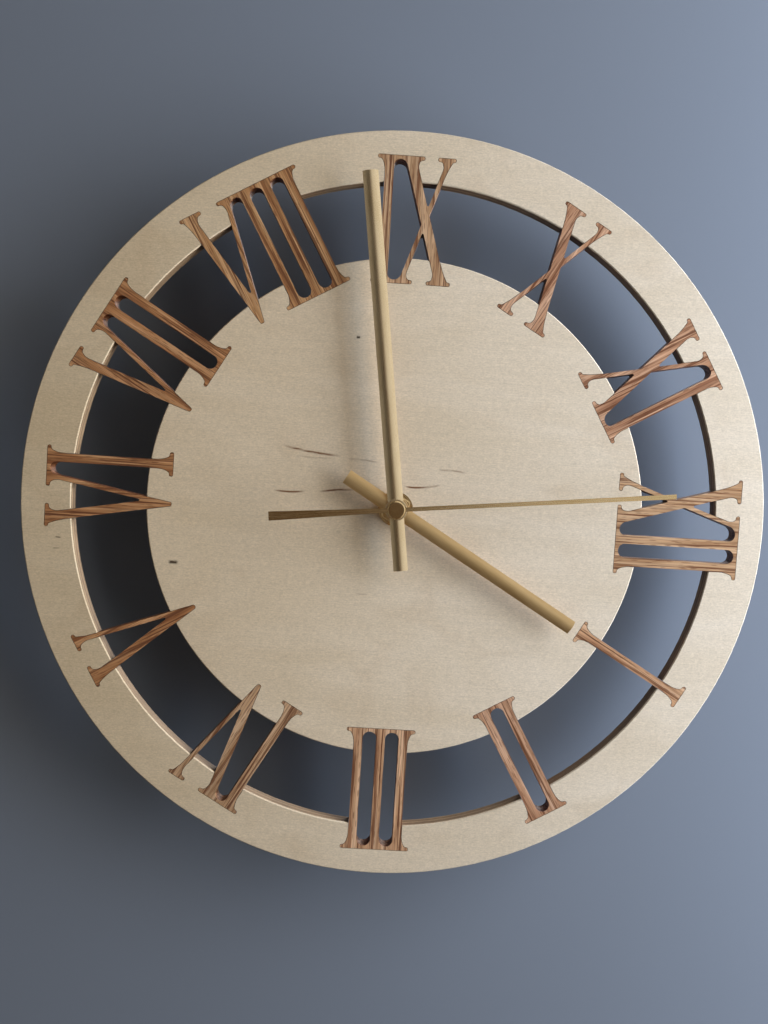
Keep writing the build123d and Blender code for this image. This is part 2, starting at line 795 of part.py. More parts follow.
with BuildPart() as centre_wheel:
    add_wheel(
        centre_level,
        centre_position,
        centre_teeth,
        pitch_share(third_distance, centre_teeth, third_pinion_teeth),
        0.0,
    )
    add_pinion(
        minute_level,
        centre_position,
        cannon_teeth,
        pitch_share(motion_distance, cannon_teeth, minute_teeth),
        0.0,
    )
    add_round(centre_level, minute_tube_front, minute_tube_radius)
    add_round(centre_level, minute_tube_front, minute_bore_radius, mode=Mode.SUBTRACT)
write(centre_wheel, "centre_wheel")

with BuildPart() as second_wheel:
    add_wheel(
        second_level,
        centre_position,
        second_teeth,
        pitch_share(fifth_distance, second_teeth, fifth_pinion_teeth),
        0.0,
    )
    add_pinion(
        third_level,
        centre_position,
        second_pinion_teeth,
        pitch_share(third_distance, second_pinion_teeth, third_teeth),
        second_pinion_phase,
    )
    add_round(second_level, third_level, sleeve_radius)
    add_round(second_level, third_level + pinion_front, arbor_radius, mode=Mode.SUBTRACT)
write(second_wheel, "second_wheel")

with BuildPart() as second_arbor:
    add_round(pivot_back, arbor_front, arbor_radius)
write(second_arbor, "second_arbor")

with BuildPart() as third_wheel:
    add_wheel(
        third_level,
        third_position,
        third_teeth,
        pitch_share(third_distance, third_teeth, second_pinion_teeth),
        0.0,
    )
    add_pinion(
        centre_level,
        third_position,
        third_pinion_teeth,
        pitch_share(third_distance, third_pinion_teeth, centre_teeth),
        third_pinion_phase,
    )
    add_round(pivot_back, pivot_front, arbor_radius, third_position)
write(third_wheel, "third_wheel")

with BuildPart() as fifth_wheel:
    add_wheel(
        fifth_level,
        fifth_position,
        fifth_teeth,
        pitch_share(rotor_distance, fifth_teeth, rotor_teeth),
        0.0,
    )
    add_pinion(
        second_level,
        fifth_position,
        fifth_pinion_teeth,
        pitch_share(fifth_distance, fifth_pinion_teeth, second_teeth),
        fifth_pinion_phase,
    )
    add_round(pivot_back, pivot_front, arbor_radius, fifth_position)
write(fifth_wheel, "fifth_wheel")

with BuildPart() as minute_wheel:
    add_wheel(
        minute_level,
        minute_position,
        minute_teeth,
        pitch_share(motion_distance, minute_teeth, cannon_teeth),
        minute_wheel_phase,
    )
    add_pinion(
        hour_level,
        minute_position,
        minute_pinion_teeth,
        pitch_share(motion_distance, minute_pinion_teeth, hour_teeth),
        0.0,
    )
    add_round(pivot_back, pivot_front, arbor_radius, minute_position)
write(minute_wheel, "minute_wheel")

with BuildPart() as setting_pinion:
    add_pinion(
        minute_level,
        setting_position,
        setting_teeth,
        pitch_share(motion_distance, setting_teeth, minute_teeth),
        setting_phase,
    )
    add_round(knob_back, front_wall_back - pivot_end_gap, setting_shaft_radius, setting_position)
    add_round(front_wall_back - pivot_end_gap, pivot_front, arbor_radius, setting_position)
write(setting_pinion, "setting_pinion")

with BuildPart() as setting_knob:
    with BuildSketch(level(knob_back, setting_position)):
        Circle(knob_radius)
        with PolarLocations(knob_radius, knob_flutes):
            Circle(knob_flute_radius, mode=Mode.SUBTRACT)
        Circle(setting_shaft_radius, mode=Mode.SUBTRACT)
    extrude(amount=knob_thickness)
write(setting_knob, "setting_knob")

# Stepping motor
magnet_back = stator_back - (magnet_thickness - stator_thickness) / 2
with BuildPart() as rotor_pinion:
    add_pinion(
        fifth_level,
        rotor_position,
        rotor_teeth,
        pitch_share(rotor_distance, rotor_teeth, fifth_teeth),
        rotor_phase,
    )
    add_round(pivot_back, pivot_front, arbor_radius, rotor_position)
write(rotor_pinion, "rotor_pinion")

with BuildPart() as rotor_magnet:
    extrude(disc_face(magnet_back, magnet_radius, rotor_position, bore=arbor_radius), amount=magnet_thickness)
write(rotor_magnet, "rotor_magnet")

with BuildPart() as stator:
    with BuildSketch(level(stator_back)):
        with Locations((stator_left, stator_low)):
            Rectangle(stator_right - stator_left, stator_block_top - stator_low, align=Align.MIN)
            Rectangle(stator_leg_width, stator_bar_top - stator_low, align=Align.MIN)
        with Locations((stator_left, stator_bar_low)):
            Rectangle(stator_right - stator_left, stator_leg_width, align=Align.MIN)
        with Locations(rotor_position):
            Circle(stator_hole_radius, mode=Mode.SUBTRACT)
    extrude(amount=stator_thickness)
write(stator, "stator")

core_low = stator_block_top - core_lap
with BuildPart() as coil_core:
    with BuildSketch(level(stator_front)):
        with Locations((coil_axis_x, core_low)):
            Rectangle(core_width, stator_bar_low + core_lap - core_low, align=(Align.CENTER, Align.MIN))
    extrude(amount=core_thickness)
write(coil_core, "coil_core")

coil_height = stator_front + core_thickness / 2
coil_plane = Plane(origin=(coil_axis_x, -coil_height, coil_low), x_dir=(1, 0, 0), z_dir=(0, 0, 1))
with BuildPart() as coil_bobbin:
    with BuildSketch(coil_plane):
        Circle(bobbin_radius)
    extrude(amount=coil_length)
    for flange_at in (0.0, coil_length - coil_flange_thickness):
        with BuildSketch(coil_plane.offset(flange_at)):
            Circle(coil_flange_radius)
        extrude(amount=coil_flange_thickness)
    with BuildSketch(coil_plane):
        Rectangle(core_width + 2 * core_clearance, core_thickness + 2 * core_clearance)
    extrude(amount=coil_length, mode=Mode.SUBTRACT)
write(coil_bobbin, "coil_bobbin")

with BuildPart() as coil_winding:
    with BuildSketch(coil_plane.offset(coil_flange_thickness)):
        Circle(winding_radius)
        Circle(bobbin_radius, mode=Mode.SUBTRACT)
    extrude(amount=coil_length - 2 * coil_flange_thickness)
write(coil_winding, "coil_winding")

# Circuit board with its chip and crystal on the back
with BuildPart() as circuit_board:
    with BuildSketch(level(card_back, board_card_centre)):
        Rectangle(*board_card_size)
    extrude(amount=board_card_thickness)
write(circuit_board, "circuit_board")

chip_position = (board_card_centre[0] + chip_offset[0], board_card_centre[1] + chip_offset[1])
with BuildPart() as timing_chip:
    with BuildSketch(level(card_back - chip_height, chip_position)):
        Rectangle(*chip_size)
    extrude(amount=chip_height)
write(timing_chip, "timing_chip")

crystal_x = board_card_centre[0] + crystal_offset[0] - crystal_length / 2
crystal_z = board_card_centre[1] + crystal_offset[1]
crystal_height = card_back - crystal_radius - running_clearance
with BuildPart() as quartz_crystal:
    with BuildSketch(Plane(origin=(crystal_x, -crystal_height, crystal_z), z_dir=(1, 0, 0))):
        Circle(crystal_radius)
    extrude(amount=crystal_length)
write(quartz_crystal, "quartz_crystal")

# Cell and its contacts: the positive end is at -X
cell_plane = Plane(origin=(-cell_length / 2, -cell_height, cell_z), x_dir=(0, 0, 1), z_dir=(1, 0, 0))
with BuildPart() as battery:
    with BuildSketch(cell_plane.offset(cell_button_length)):
        Circle(cell_diameter / 2)
    extrude(amount=cell_length - cell_button_length)
    fillet(battery.edges().filter_by(GeomType.CIRCLE), cell_edge_radius)
    with BuildSketch(cell_plane):
        Circle(cell_button_diameter / 2)
    extrude(amount=cell_button_length)
write(battery, "battery")

contact_reach = (case_inner - cell_length) / 2
for side, name in ((left_side, "battery_contact_positive"), (right_side, "battery_contact_negative")):
    wall_plane = Plane(
        origin=(side * case_inner / 2, -cell_height, cell_z),
        x_dir=(0, 0, 1),
        z_dir=(-side, 0, 0),
    )
    with BuildPart() as contact:
        with BuildSketch(wall_plane):
            Rectangle(contact_side, contact_side)
            Rectangle(
                contact_strip_end - cell_z,
                contact_strip_width,
                align=(Align.MIN, Align.CENTER),
            )
        extrude(amount=contact_thickness)
        with BuildSketch(wall_plane):
            Circle(contact_dimple_diameter / 2)
        extrude(amount=contact_reach)
    write(contact, name)
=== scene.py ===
import math

import bpy
from mathutils import Matrix, Vector


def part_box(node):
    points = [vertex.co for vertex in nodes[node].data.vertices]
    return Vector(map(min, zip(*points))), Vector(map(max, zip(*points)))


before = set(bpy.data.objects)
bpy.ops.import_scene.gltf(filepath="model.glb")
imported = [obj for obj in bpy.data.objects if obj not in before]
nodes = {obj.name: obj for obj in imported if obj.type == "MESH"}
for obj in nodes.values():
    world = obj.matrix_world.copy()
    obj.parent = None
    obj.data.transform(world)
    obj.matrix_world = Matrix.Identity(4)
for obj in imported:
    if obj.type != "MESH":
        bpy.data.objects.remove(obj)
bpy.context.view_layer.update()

MM = 0.001
x_axis, y_axis, z_axis = Matrix.Identity(3)
evenly = Vector((1.0, 1.0, 1.0))

# The photograph was taken close up, with XII at its right-hand edge.
camera_place = Vector((-12.6, -358.6, -11.95)) * MM
camera_right = Vector((-0.0636, -0.0194, 0.9978))
camera_forward = Vector((0.0421, 0.9989, 0.0221))
photo_long_side = 1024
focal_pixels = 830
sensor_size = 36.0
nearest_seen = 10 * MM

# The clock hangs on a grey-blue wall over a pale floor. Metal that lies within reach of the wall mirrors
# the backdrop instead of the wall.
wall_gap = 0.5 * MM
wall_size = 2.4
wall_colour = (0.185, 0.214, 0.272)
wall_grain = 1.2
mirror_reach = 12 * MM
floor_drop = 1.2
floor_size = 12.0
floor_colour = (0.72, 0.71, 0.69)
floor_grain = 3.0
floor_glow = 0.35
paint_drift_size, paint_drift_depth = 300.0, 0.06
paint_roughness = 0.7
paint_relief = (0.05, 0.15)

# A window above the clock lights it, and the rest of the room is dim and warm. Each panel of light: height
# off the wall and bearing from upright in degrees, distance, width, depth, power and colour.
windows = {
    "window_low": (20.5, -9.0, 0.58, 0.84, 0.22, 6.0, (0.87, 1.0, 1.16)),
    "window_high": (30.0, -16.0, 1.30, 2.60, 0.70, 14.4, (1.13, 1.0, 0.80)),
}
room_low, room_high = (0.016, 0.011, 0.007), (0.036, 0.027, 0.019)

# A lamp behind the wall lights the back of the clock.
back_place = Vector((-0.5, 1.0, 0.75))
back_size = 0.9
back_power = 16.0

# The pale backdrop, and what metal that faces the room shows: dim below the clock and pale above it, as it
# rises along a bearing from upright in degrees.
backdrop_colour = (0.60, 0.61, 0.63)
metal_bearing = -28.0
shown_in_metal = (
    (0.03, (0.105, 0.070, 0.044)),
    (0.23, (0.74, 0.73, 0.71)),
    (0.60, (0.84, 0.84, 0.84)),
    (0.92, (1.0, 1.0, 1.0)),
)

# In all finishes, a feature's size is in millimetres across the grain, through the board and along the
# grain, and a relief is a depth in millimetres and a strength. Noise turns a finish from one state to the
# other over a range.
wide_range, fine_range, stain_range = (0.2, 0.8), (0.25, 0.75), (0.3, 0.75)

# How far a surface turns to the front or back where a cut edge ends and a face, with its chamfer, begins.
edge_turn, face_turn = 0.5, 0.65

# The cut edges of the birch ply. The ring and the disc lie between the same two planes.
board_front, board_back = (corner.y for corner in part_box("inner_disc"))
ply_count = 5
ply_long_grain = (0.32, 0.218, 0.128)
ply_end_grain = (0.195, 0.122, 0.068)
glue_reach, glue_tone = 0.12, 0.68
scorch_size, scorch_depth = (9.0, 4.0, 9.0), 0.25
fibre_size, fibre_depth = (1.5, 0.6, 1.5), 0.25

# The faces of the birch ply: broad mottle and clouds, then fine textures, each with its size, the detail and
# roughness of its noise and its depth, then flecks. The dark marks are torn unevenly along their length.
birch_pale = (0.76, 0.66, 0.54)
birch_deep = (0.69, 0.585, 0.455)
mottle_size = (22.0, 30.0, 75.0)
mottle_low, mottle_high = 0.3, 0.7
birch_cloud = (0.59, 0.47, 0.345)
cloud_size, cloud_lean = (26.0, 30.0, 34.0), 8.0
cloud_range, cloud_depth = (0.50, 0.80), 0.45
birch_textures = {
    "silk": ((0.7, 4.0, 24.0), 3.0, 0.6, 0.07),
    "patch": ((2.0, 4.0, 3.0), 2.0, 0.5, 0.06),
    "dash": ((0.38, 4.0, 1.8), 1.0, 0.5, 0.12),
    "speck": ((0.6, 4.0, 0.8), 2.0, 0.5, 0.14),
}
birch_fleck = (0.50, 0.38, 0.25)
fleck_size = (0.5, 4.0, 3.6)
fleck_reach, fleck_share, fleck_depth = 0.3, 0.3, 0.14
tear_size = (0.6, 4.0, 4.5)
tear_range, tear_least = (0.30, 0.52), 0.35
birch_roughness = (0.44, 0.56)
birch_specular = 0.25
birch_relief = (0.04, 0.18)

# Painted shade darkens and yellows the veneers towards the foot; painted light whitens them at the head.
ring_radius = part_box("outer_ring")[1].x
ring_foot_painted_shade, disc_foot_painted_shade = (0.885, 0.82, 0.70), (0.96, 0.895, 0.785)
veneer_head_painted_light = (0.985, 1.0, 1.035)

# Dark threads and knots in the front veneers: middle across and along the grain, half width, half length,
# lean in degrees, bow in half widths, and depth of colour. The short ones are knots. The core of a mark is
# the share of its half width, half length and depth that is fully dark.
mineral_streak = (0.165, 0.066, 0.026)
knot_colour = (0.04, 0.024, 0.014)
longest_knot = 2.9
core_across, core_along, core_deep = 0.1, 0.45, 0.5
disc_marks = (
    (-20.8, -35.0, 0.68, 13.0, 6.9, 1.0, 1.0),
    (-18.9, -14.5, 0.55, 8.0, 2.8, -1.0, 0.40),
    (-18.6, -33.5, 0.50, 8.0, 0.3, 0.6, 0.30),
    (-16.8, 22.0, 0.62, 6.5, 2.5, -0.8, 0.50),
    (-4.3, -43.2, 0.60, 7.0, -0.9, 1.0, 0.98),
    (-6.2, -24.2, 0.60, 8.0, -6.8, -0.8, 0.98),
    (-9.1, 8.0, 0.60, 5.5, -3.6, 1.2, 1.0),
    (-9.9, 14.2, 0.58, 4.0, -12.0, 0.5, 0.50),
    (-67.6, -19.2, 0.90, 0.95, 0.0, 0.0, 1.0),
    (26.9, -88.0, 1.10, 2.3, 0.0, 0.0, 1.0),
    (35.3, -11.5, 0.50, 3.0, 0.0, 0.0, 0.30),
)
ring_marks = (
    (19.7, -134.3, 0.45, 1.3, 5.0, 0.0, 0.70),
    (24.2, -134.9, 0.45, 1.6, -3.0, 0.0, 0.65),
)

# The numerals come from boards of five tones: the dark, the middle and the pale of each one's figure.
# Cutting has browned their edges, and painted shade darkens the edges further.
boards = {
    "tan": ((0.31, 0.165, 0.085), (0.47, 0.288, 0.165), (0.60, 0.40, 0.255)),
    "pale": ((0.35, 0.175, 0.095), (0.57, 0.340, 0.200), (0.745, 0.495, 0.330)),
    "red": ((0.24, 0.093, 0.038), (0.43, 0.208, 0.092), (0.57, 0.315, 0.160)),
    "rose": ((0.26, 0.116, 0.065), (0.46, 0.255, 0.155), (0.63, 0.40, 0.275)),
    "russet": ((0.26, 0.112, 0.047), (0.465, 0.247, 0.113), (0.615, 0.375, 0.197)),
}
board_hours = {"tan": (4, 9, 12), "pale": (1, 3), "rose": (2, 10, 11), "red": (5, 6, 7), "russet": (8,)}
hour_angle = 30.0
hardwood_line = (0.135, 0.05, 0.024)
hardwood_scorch_and_shade = (0.46, 0.35, 0.29)
band_size, band_stops = (2.2, 2.2, 60.0), (0.34, 0.5, 0.66)
streak_size, streak_depth = (0.35, 0.5, 16.0), 0.44
line_size = (0.75, 1.2, 42.0)
line_range, line_depth = (0.50, 0.64), 0.92
pore_size = (0.42, 0.6, 5.0)
pore_reach, pore_share, pore_depth = 0.40, 0.5, 0.7
hardwood_roughness = (0.42, 0.60)
hardwood_specular = 0.3
hardwood_relief = (0.12, 0.4)

# Brushed metal: a bright and a deep tone, roughness, bearing of the brushing from upright in degrees, and the
# nodes that wear it. A hand is brushed along its length. A spread is how far roughness goes down and up.
brass = ((0.73, 0.55, 0.305), (0.63, 0.455, 0.225))
# Painted light: the hour and minute hands wear lighter copies of the brass, the minute hand's paler.
hand_brass_and_painted_light = {
    "hour_hand": (((0.79, 0.59, 0.32), (0.69, 0.49, 0.24)), 0.60),
    "minute_hand": (((0.79, 0.63, 0.40), (0.69, 0.53, 0.31)), 0.28),
    "second_hand": (brass, 0.20),
}
brushed_finishes = {
    "steel": (
        ((0.56, 0.57, 0.58), (0.45, 0.455, 0.46)), 0.36, 0.0,
        ("hanger_plate", "second_arbor", "stator", "coil_core", "quartz_crystal"),
    ),
    "contact_spring": (
        ((0.66, 0.65, 0.62), (0.5, 0.5, 0.48)), 0.3, 90.0,
        ("battery_contact_positive", "battery_contact_negative"),
    ),
}
scratch_size = (0.07, 0.07, 14.0)
brushed_stain_size = (4.0, 4.0, 18.0)
brushed_spread = (0.06, 0.12)
metal_relief = (0.02, 0.12)

# Turned metal: two tones, roughness and the nodes that wear it. Its grid is in millimetres, with depth
# flattened away.
turned_finishes = {
    "brass_polished": (brass, 0.13, ("second_hand_boss",)),
    "brass_turned": (brass, 0.24, ("brass_washer", "fixing_nut", "threaded_bushing")),
}
flattened = (1.0, 1.0e4, 1.0)
tool_marks_per_mm = 14.0
turned_stain_size = 2.0
turned_spread = (0.04, 0.06)

# Plastics, rubber and the like: two tones, roughness, grain and the nodes that wear them.
moulded_finishes = {
    "black_case": (
        ((0.030, 0.030, 0.032), (0.045, 0.045, 0.047)), 0.5, 0.3,
        ("movement_case", "movement_back_cover"),
    ),
    "grey_knob": (((0.075, 0.075, 0.08), (0.11, 0.11, 0.115)), 0.42, 0.3, ("setting_knob",)),
    "rubber": (((0.03, 0.03, 0.03), (0.048, 0.047, 0.045)), 0.75, 0.5, ("rubber_washer",)),
    "gear_plastic": (
        ((0.74, 0.71, 0.64), (0.82, 0.80, 0.74)), 0.4, 0.2,
        (
            "hour_wheel", "centre_wheel", "second_wheel", "third_wheel", "fifth_wheel", "minute_wheel",
            "setting_pinion", "rotor_pinion", "coil_bobbin",
        ),
    ),
    "magnet": (((0.06, 0.06, 0.065), (0.1, 0.1, 0.1)), 0.5, 0.15, ("rotor_magnet",)),
    "solder_mask": (((0.03, 0.13, 0.05), (0.045, 0.17, 0.07)), 0.35, 0.4, ("circuit_board",)),
    "chip_resin": (((0.016, 0.016, 0.016), (0.028, 0.028, 0.028)), 0.5, 0.2, ("timing_chip",)),
}
handling_size = 14.0
moulded_spread = (0.08, 0.12)
moulded_relief = (0.05, 0.35)

# The coil's wire.
copper = ((0.50, 0.20, 0.09), (0.66, 0.33, 0.17))
wire_size = 0.12
wire_stain_size = 2.5
wire_roughness = (0.42, 0.26)
wire_relief = 0.06

# The cell's sleeve. In shares of the cell's length, the pale band begins that far along it, and bare metal
# that far from its middle.
sleeve_dark, sleeve_pale = (0.035, 0.045, 0.06), (0.34, 0.36, 0.38)
cell_metal = (0.55, 0.55, 0.56)
band_start, end_start = 0.72, 0.47
sleeve_drift_size, sleeve_drift_depth = 9.0, 0.15
sleeve_gloss_size = 1.5
sleeve_roughness = (0.22, 0.4)


class Graph:
    """Short calls for the nodes of a material or of the world."""

    def __init__(self, tree):
        self.tree = tree

    def put(self, socket, value):
        """Links a socket to the input, or sets the input to a constant."""
        if isinstance(value, bpy.types.NodeSocket):
            self.tree.links.new(value, socket)
        elif socket.type == "RGBA":
            socket.default_value = (*value, 1.0)
        else:
            socket.default_value = value

    def add(self, kind, values=(), **settings):
        """A new node with its settings made and its inputs fed."""
        node = self.tree.nodes.new(kind)
        for key, value in settings.items():
            setattr(node, key, value)
        for key, value in dict(values).items():
            self.put(node.inputs[key], value)
        return node

    def maths(self, operation, one, other=0.0):
        """One operation on one or two values."""
        return self.add("ShaderNodeMath", {0: one, 1: other}, operation=operation).outputs[0]

    def part(self, vector, axis):
        """One coordinate of a vector."""
        return self.add("ShaderNodeSeparateXYZ", {0: vector}).outputs[axis]

    def span(self, value, low, high, to_low=0.0, to_high=1.0, curve="SMOOTHSTEP"):
        """A value carried from one range to another and held at the ends."""
        values = {0: value, 1: low, 2: high, 3: to_low, 4: to_high}
        return self.add("ShaderNodeMapRange", values, interpolation_type=curve).outputs[0]

    def mix(self, factor, one, other, blend="MIX"):
        """A blend of two colours."""
        values = {0: factor, 6: one, 7: other}
        return self.add("ShaderNodeMix", values, data_type="RGBA", blend_type=blend).outputs[2]

    def ramp(self, value, *stops):
        """A colour ramp with stops of position and colour."""
        node = self.add("ShaderNodeValToRGB", {0: value})
        elements = node.color_ramp.elements
        while len(elements) < len(stops):
            elements.new(1.0)
        for element, (position, colour) in zip(elements, stops):
            element.position = position
            element.color = (*colour, 1.0)
        return node.outputs[0]


class Finish(Graph):
    """A material in the making: its shader and what feeds it."""

    def __init__(self, name):
        self.material = bpy.data.materials.new(name)
        self.material.use_nodes = True
        super().__init__(self.material.node_tree)
        self.shader = self.tree.nodes["Principled BSDF"]
        coordinates = self.add("ShaderNodeTexCoord")
        self.place = coordinates.outputs["Object"]
        self.normal = coordinates.outputs["Normal"]

    def feed(self, values):
        """Feeds the shader's own inputs."""
        for key, value in values.items():
            self.put(self.shader.inputs[key], value)

    def grid(self, size, turn=0.0, middle=(0.0, 0.0, 0.0)):
        """Texture space in units of a feature of that size, turned about the clock's axis."""
        values = {
            "Vector": self.place,
            "Location": Vector(middle) * MM,
            "Rotation": (0.0, math.radians(turn), 0.0),
            "Scale": Vector(size) * MM,
        }
        return self.add("ShaderNodeMapping", values, vector_type="TEXTURE").outputs[0]

    def noise(self, vector, detail=2.0, roughness=0.5, distortion=0.0):
        """Soft noise from 0 to 1."""
        values = {
            "Vector": vector,
            "Scale": 1.0,
            "Detail": detail,
            "Roughness": roughness,
            "Distortion": distortion,
        }
        return self.add("ShaderNodeTexNoise", values).outputs[0]

    def figure(self, size, turn=0.0, **settings):
        """Soft noise with features of that size, turned about the clock's axis."""
        return self.noise(self.grid(size, turn), **settings)

    def flecks(self, size, reach, share, turn=0.0):
        """Scattered dashes of that size: 1 inside, 0 outside, in the given share of the cells."""
        node = self.add("ShaderNodeTexVoronoi", {"Vector": self.grid(size, turn), "Scale": 1.0})
        inside = self.span(node.outputs["Distance"], 0.5 * reach, reach, 1.0, 0.0)
        draw = self.add("ShaderNodeSeparateColor", {0: node.outputs["Color"]}).outputs[0]
        return self.maths("MULTIPLY", inside, self.maths("LESS_THAN", draw, share))

    def within(self, value, core):
        """1 in the core of a range from -1 to 1, fading to 0 at its ends."""
        return self.span(self.maths("ABSOLUTE", value), core, 1.0, 1.0, 0.0)

    def thread(self, middle, half_width, half_length, lean, bow):
        """A bowed dark thread in a face: 1 along its middle line and 0 outside."""
        place = self.grid((half_width, 1.0, half_length), lean, middle)
        across, depth, along = self.add("ShaderNodeSeparateXYZ", {0: place}).outputs
        sag = self.maths("MULTIPLY", self.maths("MULTIPLY", along, along), bow)
        inside = self.within(self.maths("ADD", across, sag), core_across)
        inside = self.maths("MULTIPLY", inside, self.within(along, core_along))
        return self.maths("MULTIPLY", inside, self.within(depth, core_deep))

    def face(self):
        """1 on the front and back faces and their chamfers, 0 on cut edges."""
        return self.span(self.maths("ABSOLUTE", self.part(self.normal, "Y")), edge_turn, face_turn)

    def shade(self, colour, value, low, high):
        """A colour scaled by a factor that follows a value from 0 to 1."""
        factor = self.span(value, 0.0, 1.0, low, high)
        return self.add("ShaderNodeVectorMath", {0: colour, 3: factor}, operation="SCALE").outputs[0]

    def tone(self, colour, value, depth):
        """A colour made darker by that depth where a value is 0, and lighter where it is 1."""
        return self.shade(colour, value, 1.0 - depth, 1.0 + depth)

    def bump(self, height, depth, strength=1.0):
        """Relief of that depth."""
        values = {"Height": height, "Distance": depth * MM, "Strength": strength}
        self.feed({"Normal": self.add("ShaderNodeBump", values).outputs[0]})

    def surface(self, tones, stain, texture, roughness, spread, relief):
        """Stains one tone with another, and lets a fine texture vary the roughness and stand in relief."""
        less, more = spread
        self.feed({
            "Base Color": self.mix(self.span(stain, *stain_range), *tones),
            "Roughness": self.span(texture, *fine_range, roughness - less, roughness + more),
        })
        self.bump(texture, *relief)


def ply_edge(finish):
    """Colour of a cut edge: plies whose grain runs up and across in turn, with glue lines between them."""
    depth = finish.span(finish.part(finish.place, "Y"), board_front, board_back, 0.0, ply_count, "LINEAR")
    crosswise = finish.maths("PINGPONG", finish.maths("FLOOR", depth), 1.0)
    along_up = finish.maths("ABSOLUTE", finish.part(finish.normal, "Z"))
    along_side = finish.maths("ABSOLUTE", finish.part(finish.normal, "X"))
    end_grain = finish.mix(crosswise, along_up, along_side)
    colour = finish.mix(end_grain, ply_long_grain, ply_end_grain)
    glue = finish.span(finish.maths("PINGPONG", depth, 0.5), 0.0, glue_reach, 1.0, 0.0)
    colour = finish.shade(colour, glue, 1.0, glue_tone)
    colour = finish.tone(colour, finish.figure(scorch_size, detail=3.0), -scorch_depth)
    return finish.tone(colour, finish.figure(fibre_size, detail=3.0), fibre_depth)


def birch(name, marks, foot_painted_shade):
    """Sanded birch ply: a rotary-cut veneer with its grain upright on the faces, and plies on the edges."""
    finish = Finish(name)
    mottle = finish.figure(mottle_size, detail=3.0, roughness=0.55, distortion=0.6)
    colour = finish.ramp(mottle, (mottle_low, birch_deep), (mottle_high, birch_pale))
    cloud = finish.figure(cloud_size, cloud_lean, detail=3.0, roughness=0.6, distortion=0.8)
    colour = finish.mix(finish.span(cloud, *cloud_range, 0.0, cloud_depth), colour, birch_cloud)
    textures = {}
    for texture, (size, detail, roughness, depth) in birch_textures.items():
        textures[texture] = finish.figure(size, detail=detail, roughness=roughness)
        colour = finish.tone(colour, textures[texture], depth)
    flecks = finish.flecks(fleck_size, fleck_reach, fleck_share)
    colour = finish.mix(finish.maths("MULTIPLY", flecks, fleck_depth), colour, birch_fleck)
    torn = finish.span(finish.figure(tear_size), *tear_range, tear_least, 1.0)
    for across, along, half_width, half_length, lean, bow, depth in marks:
        thread = finish.thread((across, board_front / MM, along), half_width, half_length, lean, bow)
        stain = finish.maths("MULTIPLY", finish.maths("MULTIPLY", thread, torn), depth)
        colour = finish.mix(stain, colour, mineral_streak if half_length > longest_knot else knot_colour)
    # Painted shade and light: darker and yellower towards the foot of the clock, whiter towards its head.
    height = finish.span(finish.part(finish.place, "Z"), -ring_radius, ring_radius)
    colour = finish.mix(1.0, colour, finish.ramp(height, (0.0, foot_painted_shade), (1.0, veneer_head_painted_light)), "MULTIPLY")
    finish.feed({
        "Base Color": finish.mix(finish.face(), ply_edge(finish), colour),
        "Specular IOR Level": birch_specular,
        "Roughness": finish.span(textures["silk"], *wide_range, *birch_roughness),
    })
    finish.bump(textures["dash"], *birch_relief)
    return finish.material


def hardwood(name, tones, turn):
    """Open-grained red-brown wood with its grain along one numeral."""
    finish = Finish(name)
    bands = finish.figure(band_size, turn, detail=3.0, roughness=0.6, distortion=0.5)
    colour = finish.ramp(bands, *zip(band_stops, tones))
    streaks = finish.figure(streak_size, turn, roughness=0.6)
    colour = finish.tone(colour, streaks, streak_depth)
    lines = finish.figure(line_size, turn, distortion=0.4)
    colour = finish.mix(finish.span(lines, *line_range, 0.0, line_depth), colour, hardwood_line)
    pores = finish.flecks(pore_size, pore_reach, pore_share, turn)
    colour = finish.mix(finish.maths("MULTIPLY", pores, pore_depth), colour, hardwood_line)
    # Cut side walls: browned by cutting and darkened further as painted shade.
    browned_and_shaded = finish.mix(1.0, colour, hardwood_scorch_and_shade, "MULTIPLY")
    finish.feed({
        "Base Color": finish.mix(finish.face(), browned_and_shaded, colour),
        "Specular IOR Level": hardwood_specular,
        "Roughness": finish.span(streaks, *wide_range, *hardwood_roughness),
    })
    finish.bump(finish.maths("SUBTRACT", streaks, pores), *hardwood_relief)
    return finish.material


def brushed(name, tones, roughness, turn):
    """Metal brushed along one direction."""
    finish = Finish(name)
    scratches = finish.figure(scratch_size, turn, detail=3.0, roughness=0.65)
    stain = finish.figure(brushed_stain_size, turn, detail=3.0)
    finish.surface(tones, stain, scratches, roughness, brushed_spread, metal_relief)
    finish.feed({"Metallic": 1.0})
    return finish.material


def turned(name, tones, roughness):
    """Metal turned on a lathe about the clock's axis."""
    finish = Finish(name)
    flat = finish.grid(flattened)
    radius = finish.add("ShaderNodeVectorMath", {0: flat}, operation="LENGTH").outputs["Value"]
    outward = finish.add("ShaderNodeCombineXYZ", {0: finish.maths("MULTIPLY", radius, tool_marks_per_mm)})
    rings = finish.noise(outward.outputs[0])
    stain = finish.figure(evenly * turned_stain_size, detail=3.0)
    finish.surface(tones, stain, rings, roughness, turned_spread, metal_relief)
    finish.feed({"Metallic": 1.0})
    return finish.material


def moulded(name, tones, roughness, grain):
    """Moulded plastic or rubber with a fine matt texture."""
    finish = Finish(name)
    texture = finish.figure(evenly * grain, roughness=0.6)
    handling = finish.figure(evenly * handling_size, detail=3.0)
    finish.surface(tones, handling, texture, roughness, moulded_spread, moulded_relief)
    return finish.material


